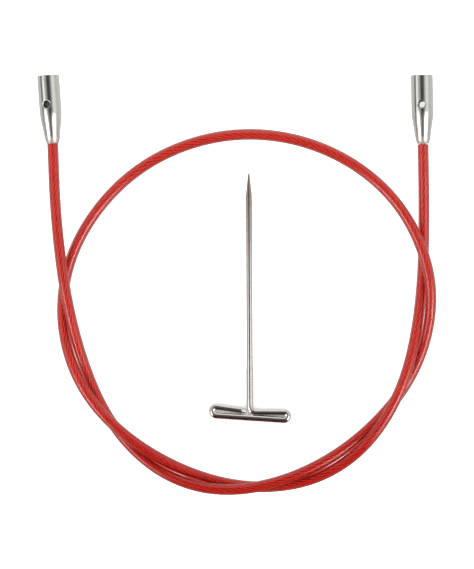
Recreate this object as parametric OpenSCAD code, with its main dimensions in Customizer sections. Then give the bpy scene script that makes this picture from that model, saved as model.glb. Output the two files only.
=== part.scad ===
// Cable of a circular knitting needle with interchangeable tips, coiled in one loop, and its key.
// A seven-strand steel core in a nylon jacket runs between two tapered steel connectors.
// Each connector has a threaded socket for a needle tip, and a cross hole for the key.
// The key is a T-pin bent from one wire, and lies loose inside the loop.
// Millimetres, +Z up. The origin is on the surface that the part lies on, midway between the two
// connectors, and midway between their mouths and the key's head.

/* [Cable] */

// Outside diameter of the jacket
jacket_d = 1.95; // [1.8:0.05:1.95]

// Wall of the jacket
jacket_wall = 0.3; // [0.25:0.05:0.35]

/* [Connectors] */

// Outside diameter of the barrel
connector_d = 3.9; // [3.6:0.1:3.9]

// Length of one connector, from its mouth to its nose
connector_length = 12.1; // [12.0:0.1:14]

// Length of the taper, from the nose to the barrel
taper_length = 5.4; // [5.0:0.1:6.0]

// Diameter of the threaded bore, at the thread's crests
thread_bore_d = 2.5; // [2.1:0.1:2.5]

// Depth of the threaded bore
thread_depth = 3.8; // [3.2:0.1:3.8]

// Diameter of the cross hole for the key
cross_hole_d = 1.2; // [1.15:0.05:1.3]

// Distance from the mouth to the middle of the cross hole
cross_hole_depth = 5.2; // [5.0:0.05:5.3]

/* [Key] */

// Diameter of the key's wire
wire_d = 1.1; // [0.9:0.05:1.1]

// Length of the key, from the head's middle line to the tip
key_length = 42.7; // [35:0.1:45]

// Width of the key's head
head_width = 14.5; // [12:0.1:16]

// Length of the ground point
point_length = 4.0; // [2:0.1:6]

/* [Hidden] */

// Points on the cable's middle line. The first and last are inside the connectors, and the second
// and last but one are at their noses. The two passes twist round each other along the bottom.
ROUTE = [
    [-32.8, 26.5, 1.95],
    [-32.2, 18.5, 1.95],
    [-31.9, 10.2, 2.2],
    [-31.2, 1.8, 2.7],
    [-30.1, -6.5, 3.1],
    [-28.2, -15.4, 2.5],
    [-25.5, -23.6, 1.3],
    [-21.5, -31.3, 1.0],
    [-14.7, -38.4, 1.35],
    [-5.6, -42.25, 2.85],
    [4.2, -42.0, 3.1],
    [13.6, -38.8, 2.6],
    [21.8, -33.55, 1.35],
    [28.5, -26.6, 1.05],
    [32.7, -19.1, 1.3],
    [34.5, -10.6, 2.5],
    [33.5, -1.9, 3.1],
    [28.6, 8.0, 2.2],
    [20.0, 15.4, 1.4],
    [9.8, 19.4, 1.1],
    [-0.9, 20.0, 1.0],
    [-11.3, 17.2, 1.0],
    [-20.3, 11.3, 1.0],
    [-27.0, 2.7, 1.1],
    [-30.2, -6.5, 1.0],
    [-30.1, -15.6, 1.6],
    [-27.05, -24.2, 2.8],
    [-21.4, -31.2, 3.1],
    [-13.8, -36.75, 2.75],
    [-5.2, -40.6, 1.3],
    [4.2, -42.2, 1.05],
    [14.3, -40.6, 1.5],
    [22.85, -34.9, 2.75],
    [28.4, -26.5, 3.1],
    [31.1, -18.7, 2.8],
    [32.6, -10.6, 1.6],
    [33.3, -1.9, 1.0],
    [33.4, 8.3, 1.4],
    [33.2, 18.5, 1.95],
    [33.1, 26.5, 1.95]
];
LAST = len(ROUTE) - 1;

// The cable is swept with this many rings to each span of the route.
RINGS_PER_SPAN = 2;
JACKET_SIDES = 8;
STRAND_SIDES = 6;
// The jacket ends at the noses, and the core runs half a span further, into the connectors.
CORE_OVERRUN = 0.5;

jacket_bore_r = jacket_d / 2 - jacket_wall;
bore_play = 0.02;
strand_play = 0.01;
strand_spacing = (jacket_bore_r - bore_play) * 2 / 3;
strand_d = strand_spacing - strand_play;

LEFT_TILT = 4;
LEFT_ROLL = -17;
RIGHT_TILT = 1;
RIGHT_ROLL = -7;
nose_lip = 0.05;
shoulder_r = connector_d / 2 - 0.1;
shoulder_length = 1.0;
mouth_chamfer = 0.15;
thread_lead_in = 0.25;
drill_point = 0.5;
core_bore_depth = 5.0;

KEY_PLACE = [2.65, -29.4];
KEY_TURN = 0.3;
tip_r = 0.15;
// The wire of the head, from the shank on: a bend, a run out to the right loop, a long run back
// to the left loop, and a short run to the free end. Bend radii are to the wire's middle.
shank_bend_top = 1.38;
shank_bend_r = 1.0;
right_run_tilt = -0.6;
right_run = head_width / 2 - 2.2;
right_loop_r = 0.66;
long_run_tilt = -4.1;
left_loop_r = 0.75;
left_run_tilt = -8.6;
long_run = head_width - right_loop_r - left_loop_r - wire_d;
left_run = head_width / 2 - 2.95;
free_end_bevel = 1.0;
free_end_r = 0.33;

CUT = 0.1;
$fn = 48;

// ---- the route of the cable ----

function unit(v) = v / norm(v);

function route_point(i) =
    i < 0 ? 2 * ROUTE[0] - ROUTE[-i]
    : i > LAST ? 2 * ROUTE[LAST] - ROUTE[2 * LAST - i]
    : ROUTE[i];

// A control point that makes the smooth curve pass by its route point.
function control(i) = (8 * route_point(i) - route_point(i - 1) - route_point(i + 1)) / 6;

// A point on the curve, where u counts route points from the first.
function centre(u) =
    let (i = min(floor(u), LAST - 1), f = u - i)
    (pow(1 - f, 3) * control(i - 1)
        + (3 * pow(f, 3) - 6 * pow(f, 2) + 4) * control(i)
        + (-3 * pow(f, 3) + 3 * pow(f, 2) + 3 * f + 1) * control(i + 1)
        + pow(f, 3) * control(i + 2)) / 6;

function heading(u) = unit(centre(u + 0.01) - centre(u - 0.01));
function sideways(u) = unit(cross(heading(u), [0, 0, 1]));
function upwards(u) = cross(sideways(u), heading(u));

// A point off the middle line, at a distance and an angle from sideways towards upwards.
function beside(u, distance, angle) =
    centre(u) + distance * (cos(angle) * sideways(u) + sin(angle) * upwards(u));

// The corners of one ring round a line that runs beside the middle line.
function ring(u, offset, offset_angle, r, sides) =
    let (middle = beside(u, offset, offset_angle))
    [for (k = [0 : sides - 1])
        let (a = (k + 0.5) * 360 / sides)
        middle + r * (cos(a) * sideways(u) + sin(a) * upwards(u))];

function stations(from, to) = [for (s = [from * RINGS_PER_SPAN : to * RINGS_PER_SPAN]) s / RINGS_PER_SPAN];

// ---- sub-parts ----

// The nylon jacket is a hollow tube between the two noses.
module cable_jacket() {
    n = JACKET_SIDES;
    along = stations(1, LAST - 1);
    count = len(along);
    inner_corner_r = jacket_bore_r / cos(180 / n);
    outer = [for (u = along) each ring(u, 0, 0, jacket_d / 2, n)];
    inner = [for (u = along) each ring(u, 0, 0, inner_corner_r, n)];
    in0 = count * n;
    last = (count - 1) * n;
    color([0.78, 0.12, 0.1, 0.7])
    polyhedron(
        points = concat(outer, inner),
        faces = [
            for (i = [0 : count - 2], k = [0 : n - 1])
                let (a = i * n + k, b = i * n + (k + 1) % n)
                each [
                    [a, b, b + n],
                    [a, b + n, a + n],
                    [in0 + a, in0 + b + n, in0 + b],
                    [in0 + a, in0 + a + n, in0 + b + n]
                ],
            for (k = [0 : n - 1])
                let (a = k, b = (k + 1) % n)
                each [
                    [a, in0 + a, in0 + b],
                    [a, in0 + b, b],
                    [last + a, last + in0 + b, last + in0 + a],
                    [last + a, last + b, last + in0 + b]
                ]
        ]
    );
}

// One steel strand of the core, which runs beside the middle line.
module strand(offset, angle) {
    n = STRAND_SIDES;
    along = stations(CORE_OVERRUN, LAST - CORE_OVERRUN);
    count = len(along);
    last = (count - 1) * n;
    color([0.7, 0.7, 0.72])
    polyhedron(
        points = [for (u = along) each ring(u, offset, angle, strand_d / 2, n)],
        faces = [
            for (i = [0 : count - 2], k = [0 : n - 1])
                let (a = i * n + k, b = i * n + (k + 1) % n)
                each [
                    [a, b, b + n],
                    [a, b + n, a + n]
                ],
            [for (k = [n - 1 : -1 : 0]) k],
            [for (k = [0 : n - 1]) last + k]
        ]
    );
}

module outer_strand(number) {
    strand(strand_spacing, (number - 1) * 60);
}

// One connector along +Y, with its nose at the origin, its mouth at the far end and its cross hole
// along Z.
module connector() {
    nose_r = jacket_d / 2 + nose_lip;
    barrel_r = connector_d / 2;
    color([0.8, 0.8, 0.82])
    difference() {
        rotate([-90, 0, 0])
        rotate_extrude()
        polygon([
            [0, 0],
            [nose_r, 0],
            [shoulder_r, taper_length - shoulder_length],
            [(shoulder_r + 2 * barrel_r) / 3, taper_length - shoulder_length / 2],
            [barrel_r, taper_length],
            [barrel_r, connector_length - mouth_chamfer],
            [barrel_r - mouth_chamfer, connector_length],
            [0, connector_length]
        ]);
        // threaded bore, with the drill's point at its end and a lead-in at its mouth
        translate([0, connector_length - thread_depth, 0])
        rotate([-90, 0, 0])
        cylinder(d = thread_bore_d, h = thread_depth + CUT);
        translate([0, connector_length - thread_depth - drill_point, 0])
        rotate([-90, 0, 0])
        cylinder(r1 = 0.01, r2 = thread_bore_d / 2, h = drill_point + 0.001);
        translate([0, connector_length - thread_lead_in, 0])
        rotate([-90, 0, 0])
        cylinder(d1 = thread_bore_d, d2 = thread_bore_d + 2 * thread_lead_in, h = thread_lead_in + 0.001);
        // cross hole for the key
        translate([0, connector_length - cross_hole_depth, -connector_d])
        cylinder(d = cross_hole_d, h = 2 * connector_d);
        // bore in which the core is swaged
        translate([0, -CUT, 0])
        rotate([-90, 0, 0])
        cylinder(r = jacket_bore_r, h = core_bore_depth + CUT);
    }
}

module connector_left() {
    translate(ROUTE[1])
    rotate([0, 0, LEFT_TILT])
    rotate([0, LEFT_ROLL, 0])
    connector();
}

module connector_right() {
    translate(ROUTE[LAST - 1])
    rotate([0, 0, RIGHT_TILT])
    rotate([0, RIGHT_ROLL, 0])
    connector();
}

// A straight run of the key's wire along +X. Its child goes on from its end.
module wire_run(length) {
    rotate([0, 90, 0])
    cylinder(d = wire_d, h = length);
    translate([length, 0, 0])
    children();
}

// A bend of the key's wire that starts along +X and turns about Z, left when the turn is positive.
// Its child goes on from its end.
module wire_bend(bend_r, turn) {
    centre_y = sign(turn) * bend_r;
    translate([0, centre_y, 0])
    rotate([0, 0, turn > 0 ? -90 : 90 + turn])
    rotate_extrude(angle = abs(turn))
    translate([bend_r, 0])
    circle(d = wire_d);
    translate([0, centre_y, 0])
    rotate([0, 0, turn])
    translate([0, -centre_y, 0])
    children();
}

// The key's head, from the lower end of the shank to the free end of the wire.
module key_head() {
    translate([0, shank_bend_top, 0])
    rotate([0, 0, -90])
    wire_bend(shank_bend_r, 90 + right_run_tilt)
    wire_run(right_run)
    wire_bend(right_loop_r, long_run_tilt - right_run_tilt - 180)
    wire_run(long_run)
    wire_bend(left_loop_r, left_run_tilt - long_run_tilt - 180)
    wire_run(left_run)
    rotate([0, 90, 0])
    cylinder(r1 = wire_d / 2, r2 = free_end_r, h = free_end_bevel);
}

// The key's shank and ground point, along +Y from the end of the bend.
module key_shank() {
    wire_r = wire_d / 2;
    rotate([-90, 0, 0])
    rotate_extrude()
    polygon([
        [0, shank_bend_top],
        [wire_r, shank_bend_top],
        [wire_r, key_length - point_length],
        [tip_r, key_length - tip_r],
        [0.6 * tip_r, key_length - 0.2 * tip_r],
        [0, key_length]
    ]);
}

module tightening_key() {
    color([0.72, 0.72, 0.74])
    translate([KEY_PLACE[0], KEY_PLACE[1], wire_d / 2])
    rotate([0, 0, KEY_TURN])
    union() {
        key_head();
        key_shank();
    }
}

connector_left();
connector_right();
cable_jacket();
strand(0, 0);  // centre_strand
outer_strand(1);  // outer_strand_1
outer_strand(2);  // outer_strand_2
outer_strand(3);  // outer_strand_3
outer_strand(4);  // outer_strand_4
outer_strand(5);  // outer_strand_5
outer_strand(6);  // outer_strand_6
tightening_key();
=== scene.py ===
"""Looks of a circular knitting needle's coiled cable, its two connectors and its tightening key."""

import math

import bpy
import numpy as np
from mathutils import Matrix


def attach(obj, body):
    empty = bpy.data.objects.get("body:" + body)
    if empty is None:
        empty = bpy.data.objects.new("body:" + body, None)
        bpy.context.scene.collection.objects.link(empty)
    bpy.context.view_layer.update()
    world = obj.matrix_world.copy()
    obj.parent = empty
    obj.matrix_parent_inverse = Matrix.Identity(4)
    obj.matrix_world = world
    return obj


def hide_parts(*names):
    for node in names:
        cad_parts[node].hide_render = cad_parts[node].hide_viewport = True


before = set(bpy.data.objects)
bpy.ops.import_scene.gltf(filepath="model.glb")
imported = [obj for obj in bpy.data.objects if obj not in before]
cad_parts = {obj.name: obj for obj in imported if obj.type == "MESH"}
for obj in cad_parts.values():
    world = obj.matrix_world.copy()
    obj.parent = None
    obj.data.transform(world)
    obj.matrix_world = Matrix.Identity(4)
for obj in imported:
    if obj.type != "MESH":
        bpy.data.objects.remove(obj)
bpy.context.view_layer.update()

MM = 0.001

# ---------------------------------------------------------------- camera

CAMERA_HEIGHT = 590.0  # above the cable, in mm
VIEW_CENTRE = (0.34, -6.4)  # of the frame, in mm
VIEW_LONG_SIDE = 100.7  # of the frame at the cable, in mm
CABLE_LEVEL = 1.0  # of the middle line above the surface, in mm
SENSOR = 36.0


def place_camera():
    data = bpy.data.cameras.new("camera")
    data.sensor_width = SENSOR
    data.lens = SENSOR * CAMERA_HEIGHT / VIEW_LONG_SIDE
    data.clip_start = 0.01
    data.clip_end = 10
    camera = bpy.data.objects.new("camera", data)
    camera.location = (
        VIEW_CENTRE[0] * MM,
        VIEW_CENTRE[1] * MM,
        (CAMERA_HEIGHT + CABLE_LEVEL) * MM,
    )
    bpy.context.collection.objects.link(camera)
    bpy.context.scene.camera = camera
    bpy.context.scene.view_settings.view_transform = "Standard"


place_camera()

# ---------------------------------------------------------------- route of the cable

# Points on the cable's middle line, in mm, as in part.scad. The first and last are inside the
# connectors, and the second and last but one are at their noses.
ROUTE = [
    (-32.8, 26.5, 1.95),
    (-32.2, 18.5, 1.95),
    (-31.9, 10.2, 2.2),
    (-31.2, 1.8, 2.7),
    (-30.1, -6.5, 3.1),
    (-28.2, -15.4, 2.5),
    (-25.5, -23.6, 1.3),
    (-21.5, -31.3, 1.0),
    (-14.7, -38.4, 1.35),
    (-5.6, -42.25, 2.85),
    (4.2, -42.0, 3.1),
    (13.6, -38.8, 2.6),
    (21.8, -33.55, 1.35),
    (28.5, -26.6, 1.05),
    (32.7, -19.1, 1.3),
    (34.5, -10.6, 2.5),
    (33.5, -1.9, 3.1),
    (28.6, 8.0, 2.2),
    (20.0, 15.4, 1.4),
    (9.8, 19.4, 1.1),
    (-0.9, 20.0, 1.0),
    (-11.3, 17.2, 1.0),
    (-20.3, 11.3, 1.0),
    (-27.0, 2.7, 1.1),
    (-30.2, -6.5, 1.0),
    (-30.1, -15.6, 1.6),
    (-27.05, -24.2, 2.8),
    (-21.4, -31.2, 3.1),
    (-13.8, -36.75, 2.75),
    (-5.2, -40.6, 1.3),
    (4.2, -42.2, 1.05),
    (14.3, -40.6, 1.5),
    (22.85, -34.9, 2.75),
    (28.4, -26.5, 3.1),
    (31.1, -18.7, 2.8),
    (32.6, -10.6, 1.6),
    (33.3, -1.9, 1.0),
    (33.4, 8.3, 1.4),
    (33.2, 18.5, 1.95),
    (33.1, 26.5, 1.95),
]
LAST = len(ROUTE) - 1


def route_point(i):
    """A point of the route, continued past each end by its mirror image in the end point."""
    points = [np.array(p) for p in ROUTE]
    if i < 0:
        return 2 * points[0] - points[-i]
    if i > LAST:
        return 2 * points[LAST] - points[2 * LAST - i]
    return points[i]


CONTROLS = [
    (8 * route_point(i) - route_point(i - 1) - route_point(i + 1)) / 6
    for i in range(-1, LAST + 2)
]


def centre(u):
    """A point on the middle line, in mm, where u counts route points from the first."""
    i = min(int(math.floor(u)), LAST - 1)
    f = u - i
    weights = (
        (1 - f) ** 3,
        3 * f**3 - 6 * f**2 + 4,
        -3 * f**3 + 3 * f**2 + 3 * f + 1,
        f**3,
    )
    return sum(w * CONTROLS[i + k] for k, w in enumerate(weights)) / 6


def unit_rows(a):
    return a / np.linalg.norm(a, axis=1, keepdims=True)


class Line:
    """The middle line between two route numbers, in even steps: how far each point p is along
    it, s, and the directions to the side and up there."""

    FINE = 60  # samples to a span of the route
    NEAR = 0.01  # of a span, for the direction

    def __init__(self, start, end, step):
        fine = np.linspace(start, end, int((end - start) * self.FINE) + 1)
        points = np.array([centre(u) for u in fine])
        along = np.concatenate(
            [[0], np.cumsum(np.linalg.norm(np.diff(points, axis=0), axis=1))]
        )
        length = along[-1]
        self.s = np.linspace(0, length, int(round(length / step)) + 1)
        u = np.interp(self.s, along, fine)
        self.p = np.array([centre(x) for x in u])
        ahead = np.array([centre(min(x + self.NEAR, LAST)) for x in u])
        behind = np.array([centre(max(x - self.NEAR, 0)) for x in u])
        tangent = unit_rows(ahead - behind)
        self.side = unit_rows(np.cross(tangent, [0, 0, 1]))
        self.up = np.cross(self.side, tangent)


# ---------------------------------------------------------------- mesh making

SHARP = 40  # degrees


def new_piece(name, verts, faces):
    """A smooth mesh object from points in mm."""
    mesh = bpy.data.meshes.new(name)
    mesh.from_pydata([tuple(v) for v in np.asarray(verts) * MM], [], faces)
    mesh.validate()
    mesh.update()
    mesh.polygons.foreach_set("use_smooth", [True] * len(mesh.polygons))
    piece = bpy.data.objects.new(name, mesh)
    bpy.context.collection.objects.link(piece)
    return piece


def sharp_edges(piece):
    """Marks the edges that turn by more than the sharp angle as sharp."""
    mesh = piece.data
    normals = {}
    for face in mesh.polygons:
        for key in face.edge_keys:
            normals.setdefault(key, []).append(face.normal.copy())
    for edge in mesh.edges:
        pair = normals.get(tuple(sorted(edge.vertices)), [])
        if len(pair) == 2 and pair[0].angle(pair[1], 0) > math.radians(SHARP):
            edge.use_edge_sharp = True


def tube_faces(rings, sides, first=0):
    """Quads between rings of points, wound so that they face out when the corners of a ring go
    from up to side, right-handed about the way the rings run."""
    faces = []
    for i in range(rings - 1):
        for k in range(sides):
            a = first + i * sides + k
            b = first + i * sides + (k + 1) % sides
            faces.append((a, b, b + sides, a + sides))
    return faces


def rod_faces(rings, sides):
    """A tube's quads and the caps of its two ends."""
    start = tuple(range(sides - 1, -1, -1))
    end = tuple((rings - 1) * sides + k for k in range(sides))
    return [*tube_faces(rings, sides), start, end]


def swept(p, up, side, radii, sides, lobes=0, lobe_depth=0.0, turn=None):
    """Points of rings about a line. Lobes stand for wires round a strand."""
    angles = np.arange(sides) * 2 * math.pi / sides
    rings = []
    for i in range(len(p)):
        a = angles + (turn[i] if turn is not None else 0.0)
        r = radii[i] * (1 - lobe_depth * (0.5 - 0.5 * np.cos(lobes * angles)))
        rings.append(
            p[i] + (r * np.cos(a))[:, None] * up[i] + (r * np.sin(a))[:, None] * side[i]
        )
    return np.concatenate(rings)


# ---------------------------------------------------------------- the cable

JACKET_R = 0.975
JACKET_BORE_R = 0.675
JACKET_SIDES = 40
JACKET_STEP = 0.8

STRANDS = 6  # round the centre one
BORE_ROOM = 0.02  # about what the core leaves free in the jacket
STRAND_GAP = 0.01
STRAND_SPACING = (JACKET_BORE_R - BORE_ROOM) * 2 / 3
STRAND_R = (STRAND_SPACING - STRAND_GAP) / 2
STRAND_SIDES = 12
STRAND_STEP = 0.3
CENTRE_STEP = 0.6
CORE_OVERRUN = 0.5  # spans of the route that the core runs into each connector
LAY_LENGTH = 8.85  # of the strands round the core, right-handed
LAY_START = -25.0  # degrees from the top, of the first strand at its start
WIRES = 6  # seen round each strand
WIRE_LAY = 4.6  # of the wires round their strand, left-handed
WIRE_GROOVE = 0.14  # depth of the grooves between wires, as a share of the strand's radius

jacket_line = Line(1, LAST - 1, JACKET_STEP)


def make_jacket():
    line = jacket_line
    count = len(line.s)
    outer = swept(line.p, line.up, line.side, np.full(count, JACKET_R), JACKET_SIDES)
    bore = swept(line.p, line.up, line.side, np.full(count, JACKET_BORE_R), JACKET_SIDES)
    first = len(outer)
    last = first - JACKET_SIDES
    faces = tube_faces(count, JACKET_SIDES)
    faces += [face[::-1] for face in tube_faces(count, JACKET_SIDES, first)]
    for k in range(JACKET_SIDES):
        n = (k + 1) % JACKET_SIDES
        faces.append((k, first + k, first + n, n))
        faces.append((last + k, last + n, first + last + n, first + last + k))
    piece = new_piece("jacket", np.concatenate([outer, bore]), faces)
    sharp_edges(piece)
    return piece


def make_strand(name, start_angle):
    """One strand of seven wires. A start angle of None gives the straight centre strand."""
    step = CENTRE_STEP if start_angle is None else STRAND_STEP
    line = Line(CORE_OVERRUN, LAST - CORE_OVERRUN, step)
    count = len(line.s)
    if start_angle is None:
        p, up, side = line.p, line.up, line.side
    else:
        a = math.radians(start_angle) + 2 * math.pi * line.s / LAY_LENGTH
        radial = np.cos(a)[:, None] * line.up + np.sin(a)[:, None] * line.side
        p = line.p + STRAND_SPACING * radial
        tangent = unit_rows(np.gradient(p, axis=0))
        up = unit_rows(radial - (radial * tangent).sum(1, keepdims=True) * tangent)
        side = np.cross(tangent, up)
    turn = -2 * math.pi * line.s / WIRE_LAY
    radii = np.full(count, STRAND_R)
    verts = swept(p, up, side, radii, STRAND_SIDES, WIRES, WIRE_GROOVE, turn)
    return new_piece(name, verts, rod_faces(count, STRAND_SIDES))


jacket = make_jacket()
strands = [make_strand("core_strand", None)]
for number in range(STRANDS):
    strands.append(
        make_strand(f"lay_strand_{number + 1}", LAY_START + 360 / STRANDS * number)
    )

# ---------------------------------------------------------------- connectors

# Places along a connector are measured from its nose, in mm.
CONNECTOR_R = 1.95
CONNECTOR_LENGTH = 12.1
NOSE_R = 1.0
NOSE_ROUND_LENGTH = 0.9
NOSE_ROUND_DROP = 0.17  # of the radius, below the cone
CONE_R = NOSE_R + NOSE_ROUND_DROP  # where the cone's line would meet the nose's face
SHOULDER_START = 4.0
TAPER_END = 6.0
CROSS_HOLE_R = 0.6
CROSS_HOLE_Y = 6.9
CROSS_HOLE_ROUND = 0.22
BARREL_START = 2 * CROSS_HOLE_Y - TAPER_END  # the far side of the patches round the cross hole
CORE_BORE_DEPTH = 5.0
MOUTH_ROUND = 0.16
THREAD_CREST_R = 1.25
THREAD_ROOT_R = 1.52
THREAD_PITCH = 0.5
THREAD_DEPTH = 3.8
THREAD_ROWS = 76  # ten to a turn
GROOVE_TOP = 1.35  # a groove's depth as a share, before its bottom is cut flat at 1
GROOVE_SLOPE = 3.1  # of its flanks, for each turn
LEAD_IN = 0.25
LEAD_IN_R = 1.58
DRILL_POINT = 0.5
DRILL_POINT_R = 0.02

NOSE_STEPS = 8
SHOULDER_STEPS = 12
BARREL_STEPS = 4
AROUND = 96  # steps round the barrel
PATCH_HALF = 8  # of those steps on each side of the cross hole
PATCH_ROWS = 2 * PATCH_HALF
PATCH_SHARES = (0.3, 0.6, 0.85, 1)  # of the way from a patch's border to the hole's edge
EDGE_TURNS = (30, 60, 90)  # degrees round the hole's edge
WALL_STEPS = 5  # down the cross hole
ROUND_STEPS = 5  # round the mouth's edge

# The bore slot is painted near black: a painted shade inside the cross hole and the socket.
POLISHED, SHADED_BORE, EDGE = 0, 1, 2  # material slots


class Skin:
    """Points and faces of a connector along +Y, with its cross hole along Z. They are gathered
    ring by ring, and a ring is a list of its points' numbers."""

    def __init__(self):
        self.verts = []
        self.faces = []
        self.slots = []

    def points(self, places):
        first = len(self.verts)
        self.verts += places
        return list(range(first, len(self.verts)))

    def ring(self, y, radius):
        """A ring about the axis. The radius may be a function of the angle."""
        places = []
        for k in range(AROUND):
            a = 2 * math.pi * k / AROUND
            r = radius(a) if callable(radius) else radius
            places.append((r * math.sin(a), y, r * math.cos(a)))
        return self.points(places)

    def face(self, corners, slot):
        self.faces.append(tuple(corners))
        self.slots.append(slot)

    def join(self, a, b, slot=POLISHED, steps=None):
        """Quads between two rings. They face away from the axis when b is further along than a,
        and towards it when a is."""
        for k in range(len(a)) if steps is None else steps:
            n = (k + 1) % len(a)
            self.face((a[n], b[n], b[k], a[k]), slot)

    def run(self, start, rows, slot=POLISHED):
        """Rings joined one after the other from a first one. Gives the last."""
        for y, radius in rows:
            end = self.ring(y, radius)
            self.join(start, end, slot)
            start = end
        return end


def taper_rows():
    """Places and radii from the nose to the shoulder's end. The cone's slope fades out evenly
    over the shoulder."""
    fade = TAPER_END - SHOULDER_START
    slope = (CONNECTOR_R - CONE_R) / (SHOULDER_START + fade / 2)
    rows = []
    for k in range(NOSE_STEPS + 1):
        y = k / NOSE_STEPS * NOSE_ROUND_LENGTH
        rows.append((y, CONE_R + slope * y - NOSE_ROUND_DROP * (1 - k / NOSE_STEPS) ** 2))
    rows.append((SHOULDER_START / 2, CONE_R + slope * SHOULDER_START / 2))
    for k in range(SHOULDER_STEPS + 1):
        d = k / SHOULDER_STEPS * fade
        r = CONE_R + slope * SHOULDER_START + slope * (d - d * d / fade / 2)
        rows.append((SHOULDER_START + d, r))
    return rows


def in_patch(k):
    """Whether a step round the barrel is in the upper or the lower patch of the cross hole."""
    for middle in (0, AROUND // 2):
        off = (k - middle + AROUND // 2) % AROUND - AROUND // 2
        if -PATCH_HALF <= off < PATCH_HALF:
            return True
    return False


def add_patch(skin, grid, middle, up):
    """Rings from the square of grid points in to the rounded edge of the hole. Gives the last
    ring, and the places of the square's points about the hole's axis."""
    border = [(k, 0) for k in range(-PATCH_HALF, PATCH_HALF)]
    border += [(PATCH_HALF, j) for j in range(PATCH_ROWS)]
    border += [(k, PATCH_ROWS) for k in range(PATCH_HALF, -PATCH_HALF, -1)]
    border += [(-PATCH_HALF, j) for j in range(PATCH_ROWS, 0, -1)]
    ring = [grid[j][(middle + k) % AROUND] for k, j in border]
    places = [(skin.verts[i][0], skin.verts[i][1] - CROSS_HOLE_Y) for i in ring]
    rim = CROSS_HOLE_R + CROSS_HOLE_ROUND
    on_barrel = [(share, 0) for share in PATCH_SHARES]
    on_edge = [(1, degrees) for degrees in EDGE_TURNS]
    for share, degrees in on_barrel + on_edge:
        t = math.radians(degrees)
        sink = CROSS_HOLE_ROUND * (1 - math.cos(t))
        points = []
        for x, y in places:
            a = math.atan2(y, x)
            rho = math.hypot(x, y)
            r = rho + share * (rim - rho) - CROSS_HOLE_ROUND * math.sin(t)
            px = r * math.cos(a)
            pz = math.sqrt(CONNECTOR_R**2 - px**2) - sink
            points.append((px, r * math.sin(a) + CROSS_HOLE_Y, up * pz))
        inner = skin.points(points)
        skin.join(ring, inner, EDGE if degrees else POLISHED)
        ring = inner
    return ring, places


def add_hole_wall(skin, top, top_places, bottom, bottom_places):
    """The cross hole's wall. The lower patch runs the other way round, so its points are matched
    by their place."""
    below = []
    for x, y in top_places:
        away = [math.hypot(bx - x, by - y) for bx, by in bottom_places]
        below.append(bottom[away.index(min(away))])
    ring = top
    for step in range(1, WALL_STEPS):
        f = step / WALL_STEPS
        points = []
        for i, j in zip(top, below):
            a, b = skin.verts[i], skin.verts[j]
            points.append(tuple(a[q] + f * (b[q] - a[q]) for q in range(3)))
        inner = skin.points(points)
        skin.join(ring, inner, SHADED_BORE)
        ring = inner
    skin.join(ring, below, SHADED_BORE)


def add_drilled_barrel(skin, start):
    """The stretch of barrel with the cross hole through it. Gives its last ring."""
    grid = [start]
    for j in range(1, PATCH_ROWS + 1):
        y = TAPER_END + j / PATCH_ROWS * (BARREL_START - TAPER_END)
        grid.append(skin.ring(y, CONNECTOR_R))
    beside = [k for k in range(AROUND) if not in_patch(k)]
    for a, b in zip(grid, grid[1:]):
        skin.join(a, b, steps=beside)
    top = add_patch(skin, grid, 0, 1)
    bottom = add_patch(skin, grid, AROUND // 2, -1)
    add_hole_wall(skin, *top, *bottom)
    return grid[-1]


def mouth_rows():
    """The rest of the barrel, the rounded edge of the mouth and its face."""
    barrel_end = CONNECTOR_LENGTH - MOUTH_ROUND
    places = np.linspace(BARREL_START, barrel_end, BARREL_STEPS + 1)
    rows = [(y, CONNECTOR_R) for y in places[1:]]
    for k in range(1, ROUND_STEPS + 1):
        a = k / ROUND_STEPS * math.pi / 2
        y = barrel_end + MOUTH_ROUND * math.sin(a)
        rows.append((y, CONNECTOR_R - MOUTH_ROUND * (1 - math.cos(a))))
    rows.append((CONNECTOR_LENGTH, LEAD_IN_R))
    return rows


def thread_radius(depth):
    """The socket's radius at a depth, as a function of the angle: a right-handed thread."""

    def radius(a):
        turns = (CONNECTOR_LENGTH - depth) / THREAD_PITCH - a / (2 * math.pi)
        off_groove = abs(turns - math.floor(turns) - 0.5)
        groove = min(1.0, max(0.0, GROOVE_TOP - off_groove * GROOVE_SLOPE))
        fade = min(1.0, max(0.0, (THREAD_DEPTH - depth) / THREAD_PITCH))
        r = THREAD_CREST_R + (THREAD_ROOT_R - THREAD_CREST_R) * groove * fade
        return max(r, LEAD_IN_R - depth * (LEAD_IN_R - THREAD_CREST_R) / LEAD_IN)

    return radius


def socket_rows():
    """The lead-in and the thread down to the drill's point."""
    rows = []
    for row in range(1, THREAD_ROWS + 1):
        depth = row / THREAD_ROWS * THREAD_DEPTH
        rows.append((CONNECTOR_LENGTH - depth, thread_radius(depth)))
    rows.append((CONNECTOR_LENGTH - THREAD_DEPTH - DRILL_POINT, DRILL_POINT_R))
    return rows


def connector_mesh(name):
    """A connector along +Y from its nose at the origin, with its cross hole along Z."""
    skin = Skin()
    (nose_y, nose_r), *taper = taper_rows()
    nose = skin.ring(nose_y, nose_r)
    taper_end = skin.run(nose, taper)
    barrel = add_drilled_barrel(skin, taper_end)
    mouth = skin.run(barrel, mouth_rows())
    drill_point = skin.run(mouth, socket_rows(), SHADED_BORE)
    skin.face(drill_point, SHADED_BORE)
    # the nose's face and the bore that the core is swaged in
    rim = skin.ring(0.0, JACKET_BORE_R)
    bottom = skin.ring(CORE_BORE_DEPTH, JACKET_BORE_R)
    skin.join(rim, nose)
    skin.join(bottom, rim)
    skin.face(bottom[::-1], POLISHED)
    piece = new_piece(name, skin.verts, skin.faces)
    piece.data.polygons.foreach_set("material_index", skin.slots)
    return piece


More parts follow.
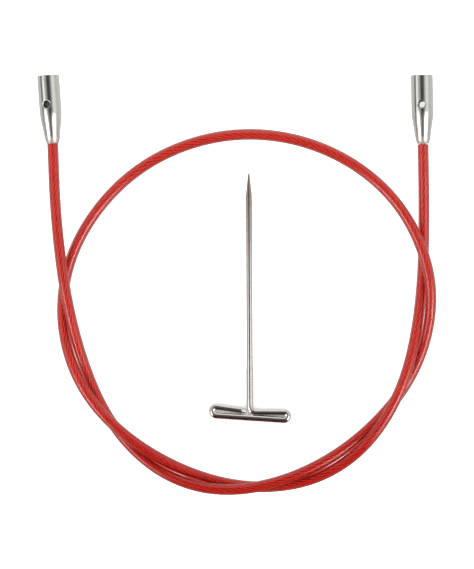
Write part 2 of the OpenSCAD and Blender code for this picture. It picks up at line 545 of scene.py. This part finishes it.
def place_connector(piece, nose, tilt, roll):
    """Rolls the piece about its own axis and tilts it about Z, in its mesh."""
    t, r = math.radians(tilt), math.radians(roll)
    roll_m = np.array(
        [[math.cos(r), 0, math.sin(r)], [0, 1, 0], [-math.sin(r), 0, math.cos(r)]]
    )
    tilt_m = np.array(
        [[math.cos(t), -math.sin(t), 0], [math.sin(t), math.cos(t), 0], [0, 0, 1]]
    )
    turn = tilt_m @ roll_m
    for v in piece.data.vertices:
        v.co = turn @ np.array(v.co) + np.array(nose) * MM
    piece.data.update()
    sharp_edges(piece)


connectors = []
for side, nose, tilt, roll in (
    ("left", ROUTE[1], 4, -17),
    ("right", ROUTE[LAST - 1], 1, -7),
):
    piece = connector_mesh(f"{side}_connector")
    place_connector(piece, nose, tilt, roll)
    connectors.append(piece)

# ---------------------------------------------------------------- the key

WIRE_R = 0.55
KEY_LENGTH = 42.7
POINT_LENGTH = 4.0
KEY_TURN = 0.3  # degrees
KEY_PLACE = (2.65, -29.4)  # of the head's middle, on the shank's line
SHANK_BEND_TOP = 1.38  # where the shank ends and the head's first bend starts
TIP_R = 0.15
TIP_FLAT = 0.004  # added to the tip's radius all along its rounding
TIP_ARC = 81  # degrees
TIP_STEPS = 4
POINT_STEPS = 8
POINT_EDGE = 0.25  # from the point to the shank's first ring, which keeps the edge between them
SHANK_STEPS = 23
KEY_SIDES = 32
# The head's wire from the shank on, as in part.scad: lengths of runs, and radii and turns of bends.
HEAD_WIRE = [
    ("bend", 1.0, 89.4),
    ("run", 5.05),
    ("bend", 0.66, -183.5),
    ("run", 11.99),
    ("bend", 0.75, -184.5),
    ("run", 4.3),
]
HEAD_STEPS = 12  # of a run, and the fewest of a bend
BEND_STEP = 8  # degrees
FREE_END = 1.0
FREE_END_R = 0.33
FREE_END_STEPS = 5
FREE_TIP = FREE_END / (FREE_END_STEPS + 1)  # the length of its rounded tip
FREE_TIP_ARC = 85.5  # degrees
FREE_TIP_STEPS = 4


def point_line():
    """Places along the shank and radii, from the tip to the head's first bend."""
    line = []
    for k in range(TIP_STEPS + 1):
        a = math.radians(TIP_ARC) * (1 - k / TIP_STEPS)
        line.append((KEY_LENGTH - TIP_R * (1 - math.sin(a)), TIP_FLAT + TIP_R * math.cos(a)))
    for k in range(1, POINT_STEPS + 1):  # the ground point
        f = k / POINT_STEPS
        line.append((KEY_LENGTH - TIP_R - (POINT_LENGTH - TIP_R) * f, TIP_R + (WIRE_R - TIP_R) * f))
    shank_top = KEY_LENGTH - POINT_LENGTH - POINT_EDGE
    for y in np.linspace(shank_top, SHANK_BEND_TOP, SHANK_STEPS + 1):
        line.append((y, WIRE_R))
    return [((0, y), r) for y, r in line]


def run_points(x, y, heading, length):
    a = math.radians(heading)
    steps = [length * k / HEAD_STEPS for k in range(1, HEAD_STEPS + 1)]
    return [(x + d * math.cos(a), y + d * math.sin(a)) for d in steps]


def bend_points(x, y, heading, radius, turn):
    steps = max(HEAD_STEPS, int(abs(turn) / BEND_STEP))
    a = math.radians(heading)
    r = math.copysign(radius, turn)
    middle_x, middle_y = x - r * math.sin(a), y + r * math.cos(a)
    headings = [math.radians(heading + turn * k / steps) for k in range(1, steps + 1)]
    return [(middle_x + r * math.sin(b), middle_y - r * math.cos(b)) for b in headings]


def free_end_line(x, y, heading):
    """The bevelled free end and its rounded tip."""
    a = math.radians(heading)
    ends = []
    for k in range(1, FREE_END_STEPS + 1):
        d = FREE_TIP * k
        ends.append((d, WIRE_R + (FREE_END_R - WIRE_R) * d / FREE_END))
    for k in range(FREE_TIP_STEPS + 1):
        b = math.radians(FREE_TIP_ARC) * k / FREE_TIP_STEPS
        ends.append((FREE_END - FREE_TIP * (1 - math.sin(b)), FREE_END_R * math.cos(b)))
    return [((x + d * math.cos(a), y + d * math.sin(a)), r) for d, r in ends]


def key_line():
    """The wire's middle line and radius, from the tip of the point to the free end."""
    line = point_line()
    x, y, heading = 0.0, SHANK_BEND_TOP, -90.0
    for kind, size, *turn in HEAD_WIRE:
        if kind == "run":
            points = run_points(x, y, heading, size)
        else:
            points = bend_points(x, y, heading, size, turn[0])
            heading += turn[0]
        line += [(point, WIRE_R) for point in points]
        x, y = points[-1]
    return line + free_end_line(x, y, heading)


def turned(point, degrees):
    x, y = point
    a = math.radians(degrees)
    return x * math.cos(a) - y * math.sin(a), x * math.sin(a) + y * math.cos(a)


def make_key():
    p = []
    radii = []
    for point, r in key_line():
        x, y = turned(point, KEY_TURN)
        p.append((x + KEY_PLACE[0], y + KEY_PLACE[1], WIRE_R))
        radii.append(r)
    p = np.array(p)
    tangent = unit_rows(np.gradient(p, axis=0))
    up = np.tile(np.array([0.0, 0.0, 1.0]), (len(p), 1))
    verts = swept(p, up, np.cross(tangent, up), radii, KEY_SIDES)
    return new_piece("t_pin_key", verts, rod_faces(len(p), KEY_SIDES))


key = make_key()

# ---------------------------------------------------------------- node trees


class Tree:
    """A few short ways to build a node tree. An output is given as (node, its name or number)."""

    def __init__(self, tree):
        self.tree = tree
        self.tree.nodes.clear()

    def add(self, kind, **values):
        node = self.tree.nodes.new(kind)
        for key, value in values.items():
            if key in node.inputs:
                node.inputs[key].default_value = value
            else:
                setattr(node, key, value)
        return node

    def link(self, source, node, socket):
        self.tree.links.new(source[0].outputs[source[1]], node.inputs[socket])

    def math(self, operation, *values):
        node = self.add("ShaderNodeMath", operation=operation)
        for k, value in enumerate(values):
            if isinstance(value, tuple):
                self.link(value, node, k)
            else:
                node.inputs[k].default_value = value
        return node, 0

    def spread(self, source, start, end, low=0.0, high=1.0):
        """Turns a range of values into another, and holds its ends beyond them."""
        node = self.add("ShaderNodeMapRange")
        for name, value in (
            ("From Min", start),
            ("From Max", end),
            ("To Min", low),
            ("To Max", high),
        ):
            node.inputs[name].default_value = value
        self.link(source, node, "Value")
        return node, "Result"

    def ramp(self, source, stops):
        node = self.add("ShaderNodeValToRGB")
        elements = node.color_ramp.elements
        while len(elements) > 1:
            elements.remove(elements[-1])
        for k, (position, colour) in enumerate(stops):
            element = elements[0] if k == 0 else elements.new(position)
            element.position = position
            element.color = (*colour, 1)
        self.link(source, node, "Fac")
        return node, "Color"

    def mix(self, share, first, second):
        """A mix of two colours, of which the second may also be a level of grey. The node's
        colours are its sockets 6 and 7, and its mixed colour is output 2."""
        node = self.add("ShaderNodeMix", data_type="RGBA")
        self.link(share, node, 0)
        self.link(first, node, 6)
        if isinstance(second, tuple):
            self.link(second, node, 7)
        else:
            node.inputs[7].default_value = (second, second, second, 1)
        return node, 2

    def mix_shaders(self, share, first, second):
        node = self.add("ShaderNodeMixShader")
        for k, source in enumerate((share, first, second)):
            self.link(source, node, k)
        return node, 0


class Material(Tree):
    """A material of one principled shader, with patterns in the piece's own coordinates."""

    def __init__(self, name, **values):
        self.material = bpy.data.materials.new(name)
        self.material.use_nodes = True
        super().__init__(self.material.node_tree)
        out = self.add("ShaderNodeOutputMaterial")
        self.shader = self.add("ShaderNodeBsdfPrincipled")
        self.link((self.shader, "BSDF"), out, "Surface")
        for key, value in values.items():
            self.shader.inputs[key.replace("_", " ")].default_value = value

    def place(self):
        return self.add("ShaderNodeTexCoord"), "Object"

    def noise(self, scale, detail, stretch=(1, 1, 1)):
        mapping = self.add("ShaderNodeMapping", Scale=stretch)
        self.link(self.place(), mapping, "Vector")
        texture = self.add("ShaderNodeTexNoise", Scale=scale, Detail=detail)
        self.link((mapping, "Vector"), texture, "Vector")
        return texture, "Fac"

    def tones(self, source, dark, light):
        return self.ramp(source, [(0.3, dark), (0.7, light)])

    def uneven(self, source, low, high):
        """A value that varies with a noise, which lies mostly between 0.25 and 0.75."""
        return self.spread(source, 0.25, 0.75, low, high)

    def share_along(self, start, end):
        """A share of 0 to 1 that grows along Y between two places, in mm."""
        split = self.add("ShaderNodeSeparateXYZ")
        self.link(self.place(), split, "Vector")
        return self.spread((split, "Y"), start * MM, end * MM)

    def set_from(self, source, name):
        self.link(source, self.shader, name)

    def bump(self, source, strength, distance):
        node = self.add("ShaderNodeBump", Strength=strength, Distance=distance)
        self.link(source, node, "Height")
        self.set_from((node, "Normal"), "Normal")


# ---------------------------------------------------------------- materials

NOSE_Y = 18.5  # of both connectors
MATT_LENGTH = 1.9  # of the nose
MATT_ROUGHNESS = 0.5  # on top of the polished roughness


def polished_steel():
    m = Material("polished_steel", Metallic=1.0)
    tone = m.noise(900, 4)
    bright = m.tones(tone, (0.75, 0.745, 0.70), (0.80, 0.795, 0.75))
    matt = m.tones(tone, (0.66, 0.57, 0.52), (0.76, 0.66, 0.60))
    near_nose = m.share_along(NOSE_Y + MATT_LENGTH, NOSE_Y)
    m.set_from(m.mix(near_nose, bright, matt), "Base Color")
    lines = m.noise(1500, 5, (1, 0.05, 1))
    rough = m.uneven(lines, 0.06, 0.13)
    m.set_from(m.math("MULTIPLY_ADD", near_nose, MATT_ROUGHNESS, rough), "Roughness")
    m.bump(lines, 0.05, 0.00001)
    return m.material


def edge_steel():
    """The cross hole's rounded edge, tumbled rather than polished."""
    m = Material("edge_steel", Metallic=1.0)
    tone = m.noise(1200, 4)
    m.set_from(m.tones(tone, (0.50, 0.48, 0.46), (0.62, 0.60, 0.57)), "Base Color")
    m.set_from(m.uneven(tone, 0.3, 0.42), "Roughness")
    return m.material


# Near-black steel for the insides of the cross hole and the socket: painted shade in these bores.
def shaded_bore_steel():
    m = Material("shaded_bore_steel", Metallic=0.8)
    tone = m.noise(1500, 4)
    m.set_from(m.tones(tone, (0.035, 0.03, 0.03), (0.07, 0.06, 0.06)), "Base Color")
    m.set_from(m.uneven(tone, 0.35, 0.5), "Roughness")
    return m.material


WORN_FROM = -4.0  # along Y, in mm: the key's plating is bright below this and worn above WORN_TO
WORN_TO = 7.0


def key_steel():
    m = Material("key_steel", Metallic=1.0)
    tone = m.noise(500, 4)
    bright = m.tones(tone, (0.70, 0.67, 0.63), (0.78, 0.76, 0.73))
    worn = m.tones(tone, (0.43, 0.37, 0.30), (0.51, 0.45, 0.38))
    m.set_from(m.mix(m.share_along(WORN_FROM, WORN_TO), bright, worn), "Base Color")
    lines = m.noise(900, 5)
    m.set_from(m.uneven(lines, 0.08, 0.16), "Roughness")
    m.bump(lines, 0.08, 0.00001)
    return m.material


def strand_steel():
    m = Material("strand_steel", Metallic=1.0)
    tone = m.noise(1200, 3)
    m.set_from(m.tones(tone, (0.58, 0.56, 0.53), (0.72, 0.70, 0.67)), "Base Color")
    m.set_from(m.uneven(tone, 0.28, 0.42), "Roughness")
    return m.material


PAINTED_SHADE_FROM = -25.0  # along Y, in mm: the jacket is painted a darker red from here down, a painted shade at the bottom of the coil
PAINTED_SHADE_TO = -36.0


def red_nylon():
    m = Material("red_nylon", IOR=1.5, Transmission_Weight=1.0, Roughness=0.05)
    tone = m.noise(60, 2)
    usual = m.tones(tone, (0.89, 0.178, 0.150), (0.91, 0.188, 0.156))
    # a darker red towards the bottom of the coil: painted shade
    painted_shade_red = m.tones(tone, (0.81, 0.114, 0.088), (0.83, 0.122, 0.094))
    m.set_from(m.mix(m.share_along(PAINTED_SHADE_FROM, PAINTED_SHADE_TO), usual, painted_shade_red), "Base Color")
    m.bump(m.noise(700, 2), 0.1, 0.00002)
    return m.material


GLOW_FROM = 7.5  # mm from the middle of the key's head
GLOW_TO = 10.0
GLOW_LOW = 0.05
GLOW_HIGH = 0.75


def plain_floor():
    """Pale, and glowing a little: painted light over the floor's shadows, also where it shows
    through the cross hole. Less so towards the key's head, which leaves painted shade between the
    head's wires.
    """
    pale, white = (0.8, 0.8, 0.8, 1), (1, 1, 1, 1)
    m = Material("floor", Base_Color=pale, Roughness=0.9, Emission_Color=white)
    distance = m.add("ShaderNodeVectorMath", operation="DISTANCE")
    distance.inputs[1].default_value = (KEY_PLACE[0] * MM, KEY_PLACE[1] * MM, 0)
    m.link(m.place(), distance, 0)
    # painted light on the floor, dimmed towards the key's head into painted shade between its wires
    glow = m.spread((distance, "Value"), GLOW_FROM * MM, GLOW_TO * MM, GLOW_LOW, GLOW_HIGH)
    m.set_from(glow, "Emission Strength")
    return m.material


jacket.data.materials.append(red_nylon())
wire_material = strand_steel()
for strand in strands:
    strand.data.materials.append(wire_material)
for material in (polished_steel(), shaded_bore_steel(), edge_steel()):  # in the order of the slots
    for piece in connectors:
        piece.data.materials.append(material)
key.data.materials.append(key_steel())

# ---------------------------------------------------------------- riding

for piece in [jacket, *strands, *connectors]:
    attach(piece, "cable")
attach(key, "key")
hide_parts("cable_jacket")
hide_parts("centre_strand")
for number in range(STRANDS):
    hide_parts(f"outer_strand_{number + 1}")
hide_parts("connector_left")
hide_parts("connector_right")
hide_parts("tightening_key")

# ---------------------------------------------------------------- floor

FLOOR_HALF = 1.5  # m


def make_floor():
    h = FLOOR_HALF
    mesh = bpy.data.meshes.new("floor")
    mesh.from_pydata([(-h, -h, 0), (h, -h, 0), (h, h, 0), (-h, h, 0)], [], [(0, 1, 2, 3)])
    floor = bpy.data.objects.new("floor", mesh)
    bpy.context.collection.objects.link(floor)
    mesh.materials.append(plain_floor())
    floor.visible_glossy = False
    floor.visible_transmission = False
    return floor


make_floor()

# ---------------------------------------------------------------- light

# Brightness of the studio by direction: degrees from overhead, negative towards -X.
# One list is for directions level across the part, the other for those that lean towards -Y.
BANDS_LEVEL = [
    (-180, 0.66),
    (-100, 0.62),
    (-92, 0.45),
    (-84, 0.15),
    (-74, 0.15),
    (-67, 0.95),
    (-50, 1.0),
    (-44, 0.55),
    (-26, 0.38),
    (-16, 0.1),
    (-8, 0.06),
    (8, 0.09),
    (16, 0.2),
    (26, 0.5),
    (38, 0.85),
    (60, 0.85),
    (70, 0.62),
    (90, 0.58),
    (100, 0.66),
    (180, 0.66),
]
BANDS_LEANING = [
    (-180, 0.66),
    (-110, 0.58),
    (-95, 0.35),
    (-76, 0.45),
    (-62, 1.3),
    (-57, 6.0),
    (-42, 6.0),
    (-36, 1.0),
    (-18, 0.35),
    (-6, 0.2),
    (2, 0.2),
    (12, 0.5),
    (22, 1.4),
    (27, 6.5),
    (50, 6.5),
    (60, 1.0),
    (74, 0.45),
    (100, 0.48),
    (130, 0.58),
    (180, 0.66),
]
BAND_PEAK = 8.0
LEAN_START = -0.01
LEAN_END = 0.28
BACK = 0.95  # towards +Y and not far to a side
BACK_START = 0.45
BACK_END = 0.7
BACK_NARROWS = 0.6  # for each unit to a side
FRONT = 0.015  # towards -Y and not far to a side
FRONT_START = 0.15
FRONT_END = 0.45
FRONT_NARROWS = 0.35  # for each unit to a side
FRONT_ENDS = 2.0  # for each unit beyond its half width
FRONT_HALF_WIDTH = 0.36  # at the horizon
FRONT_WIDENS = 0.4  # for each unit up
EVEN = 1.6  # what lights matt surfaces and what the camera sees
INSIDE_ABOVE = 1.6  # what shows through the jacket: bright overhead, and dim near the surface
INSIDE_BELOW = 0.55
INSIDE_START = -0.15
INSIDE_END = 0.35


def bands(sky, position, stops):
    """Brightness by direction, kept below 1 in the ramp and scaled up after it."""
    return sky.ramp(
        position,
        [((degrees + 180) / 360, (level / BAND_PEAK,) * 3) for degrees, level in stops],
    )


def studio(sky, east, north, height):
    """What polished surfaces mirror."""
    angle = sky.math("ARCTAN2", east, height)
    position = sky.math("MULTIPLY_ADD", angle, 0.5 / math.pi, 0.5)
    south = sky.math("MULTIPLY", north, -1.0)
    across = sky.math("SQRT", sky.math("SUBTRACT", 1.0, sky.math("MULTIPLY", north, north)))
    lean = sky.spread(sky.math("DIVIDE", south, across), LEAN_START, LEAN_END)
    level = bands(sky, position, BANDS_LEVEL)
    leaning = bands(sky, position, BANDS_LEANING)
    colour = sky.mix(lean, level, leaning)

    aside = sky.math("ABSOLUTE", east)
    backness = sky.math("SUBTRACT", north, sky.math("MULTIPLY", aside, BACK_NARROWS))
    back = sky.spread(backness, BACK_START, BACK_END)
    colour = sky.mix(back, colour, BACK / BAND_PEAK)

    # the dark front is narrower near the horizon than high up
    up = sky.math("MAXIMUM", height, 0.0)
    half_width = sky.math("MULTIPLY_ADD", up, FRONT_WIDENS, FRONT_HALF_WIDTH)
    beyond = sky.math("MAXIMUM", sky.math("SUBTRACT", aside, half_width), 0.0)
    narrows = sky.math("MULTIPLY", aside, FRONT_NARROWS)
    off_front = sky.math("ADD", narrows, sky.math("MULTIPLY", beyond, FRONT_ENDS))
    front = sky.spread(sky.math("SUBTRACT", south, off_front), FRONT_START, FRONT_END)
    colour = sky.mix(front, colour, FRONT / BAND_PEAK)

    light = sky.add("ShaderNodeBackground", Strength=BAND_PEAK)
    sky.link(colour, light, "Color")
    return light, 0


def inside_light(sky, height):
    """What shows through the jacket."""
    light = sky.add("ShaderNodeBackground", Color=(1, 1, 1, 1))
    level = sky.spread(height, INSIDE_START, INSIDE_END, INSIDE_BELOW, INSIDE_ABOVE)
    sky.link(level, light, "Strength")
    return light, 0


def make_world():
    world = bpy.data.worlds.new("studio")
    bpy.context.scene.world = world
    world.use_nodes = True
    sky = Tree(world.node_tree)
    split = sky.add("ShaderNodeSeparateXYZ")
    sky.link((sky.add("ShaderNodeTexCoord"), "Generated"), split, 0)
    east, north, height = ((split, axis) for axis in "XYZ")
    path = sky.add("ShaderNodeLightPath")
    shiny = sky.mix_shaders(
        (path, "Is Transmission Ray"),
        studio(sky, east, north, height),
        inside_light(sky, height),
    )
    even = sky.add("ShaderNodeBackground", Color=(1, 1, 1, 1), Strength=EVEN)
    matt = sky.math("MAXIMUM", (path, "Is Camera Ray"), (path, "Is Diffuse Ray"))
    light = sky.mix_shaders(matt, shiny, (even, 0))
    sky.link(light, sky.add("ShaderNodeOutputWorld"), "Surface")


make_world()
